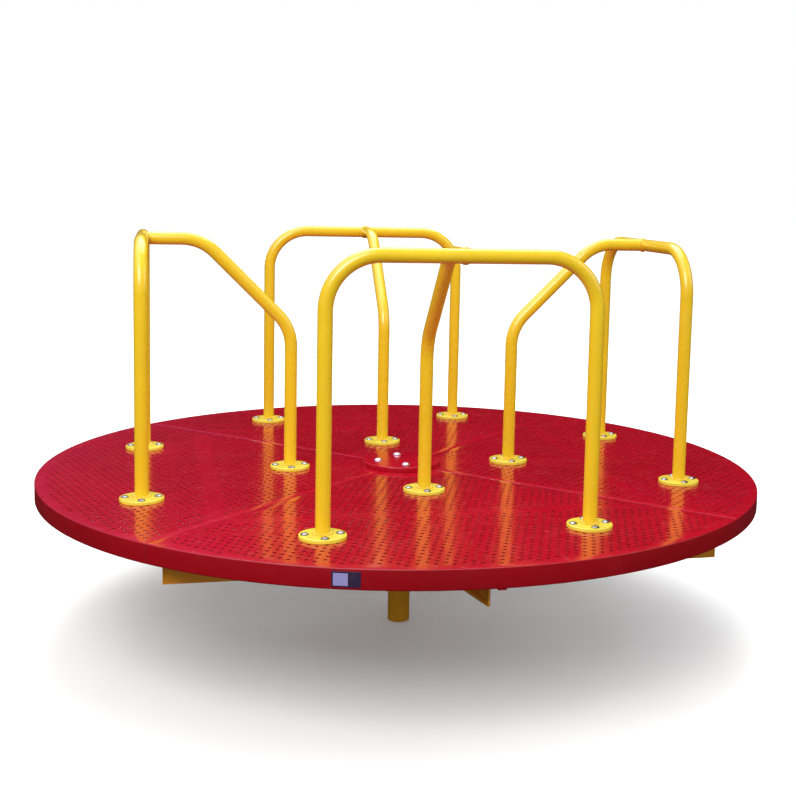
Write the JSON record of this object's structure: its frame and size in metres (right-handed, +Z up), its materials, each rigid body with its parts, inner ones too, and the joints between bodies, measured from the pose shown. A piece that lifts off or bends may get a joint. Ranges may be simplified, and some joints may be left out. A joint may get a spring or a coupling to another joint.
{
  "type": "merry go round",
  "caption": "Round perforated deck on a channel frame, turning on a roller hub over a fixed centre post, with tube handrails bolted to the deck.",
  "frame": {"origin": "centre of the bottom end of the fixed centre post", "axes": "+Z up along the post and the spin axis, -Y towards the front handrail, +X to its right seen from above with the front at the bottom"},
  "size_m": [2.4376, 2.4376, 1.3621],
  "materials": {
    "deck_red": "glossy powder coat",
    "rim_dark_red": "glossy powder coat",
    "rail_yellow": "glossy powder coat",
    "frame_yellow": "powder coat",
    "zinc_bolts": "bright zinc plate",
    "bare_steel": "machined and oiled",
    "bearing_steel": "ground and polished",
    "seal_rubber": "matte",
    "plate_grey": "satin, blank"
  },
  "bodies": {
    "base": {"main_post": "frame_yellow", "spindle": "bare_steel", "lower_cone": "bearing_steel", "upper_cone": "bearing_steel", "spindle_washer": "zinc_bolts", "castle_nut": "zinc_bolts", "cotter_pin": "zinc_bolts"},
    "platform": {"hub_barrel": "frame_yellow", "lower_cup": "bearing_steel", "upper_cup": "bearing_steel", "grease_seal": "seal_rubber", "dust_cap": "zinc_bolts", "hub_plate": "frame_yellow", "hub_cap": "deck_red", "hub_cap_bolts": "zinc_bolts", "arm_front": "frame_yellow", "arm_right": "frame_yellow", "arm_back": "frame_yellow", "arm_left": "frame_yellow", "chord_front_left": "frame_yellow", "chord_front_right": "frame_yellow", "chord_back_left": "frame_yellow", "chord_back_right": "frame_yellow", "chord_left_front": "frame_yellow", "chord_left_back": "frame_yellow", "chord_right_front": "frame_yellow", "chord_right_back": "frame_yellow", "panel_front": "deck_red", "panel_right": "deck_red", "panel_back": "deck_red", "panel_left": "deck_red", "rail_front": "rail_yellow", "rail_right": "rail_yellow", "rail_back": "rail_yellow", "rail_left": "rail_yellow", "brace_front": "rail_yellow", "brace_right": "rail_yellow", "brace_back": "rail_yellow", "brace_left": "rail_yellow", "flange_front_l": "rail_yellow", "flange_front_r": "rail_yellow", "flange_front_in": "rail_yellow", "flange_right_l": "rail_yellow", "flange_right_r": "rail_yellow", "flange_right_in": "rail_yellow", "flange_back_l": "rail_yellow", "flange_back_r": "rail_yellow", "flange_back_in": "rail_yellow", "flange_left_l": "rail_yellow", "flange_left_r": "rail_yellow", "flange_left_in": "rail_yellow", "flange_bolts": "zinc_bolts", "flange_nuts": "zinc_bolts", "flange_backing": "frame_yellow", "seam_bolts": "zinc_bolts", "data_plate": "plate_grey", "rim_tabs": "rim_dark_red"},
    "lower_roller_set": {"lower_rollers": "bearing_steel"},
    "upper_roller_set": {"upper_rollers": "bearing_steel"}
  },
  "joints": [
    {"name": "deck_spin", "type": "hinge", "parent": "base", "child": "platform", "pos_m": [0, 0, 0.561], "axis": [0, 0, 1], "continuous": true},
    {"name": "lower_roller_spin", "type": "hinge", "parent": "base", "child": "lower_roller_set", "pos_m": [0, 0, 0.415], "axis": [0, 0, 1], "continuous": true},
    {"name": "upper_roller_spin", "type": "hinge", "parent": "base", "child": "upper_roller_set", "pos_m": [0, 0, 0.529], "axis": [0, 0, 1], "continuous": true}
  ],
  "couplings": [
    {"joint": "lower_roller_spin", "follows": "deck_spin", "ratio": 0.56},
    {"joint": "upper_roller_spin", "follows": "deck_spin", "ratio": 0.56}
  ]
}
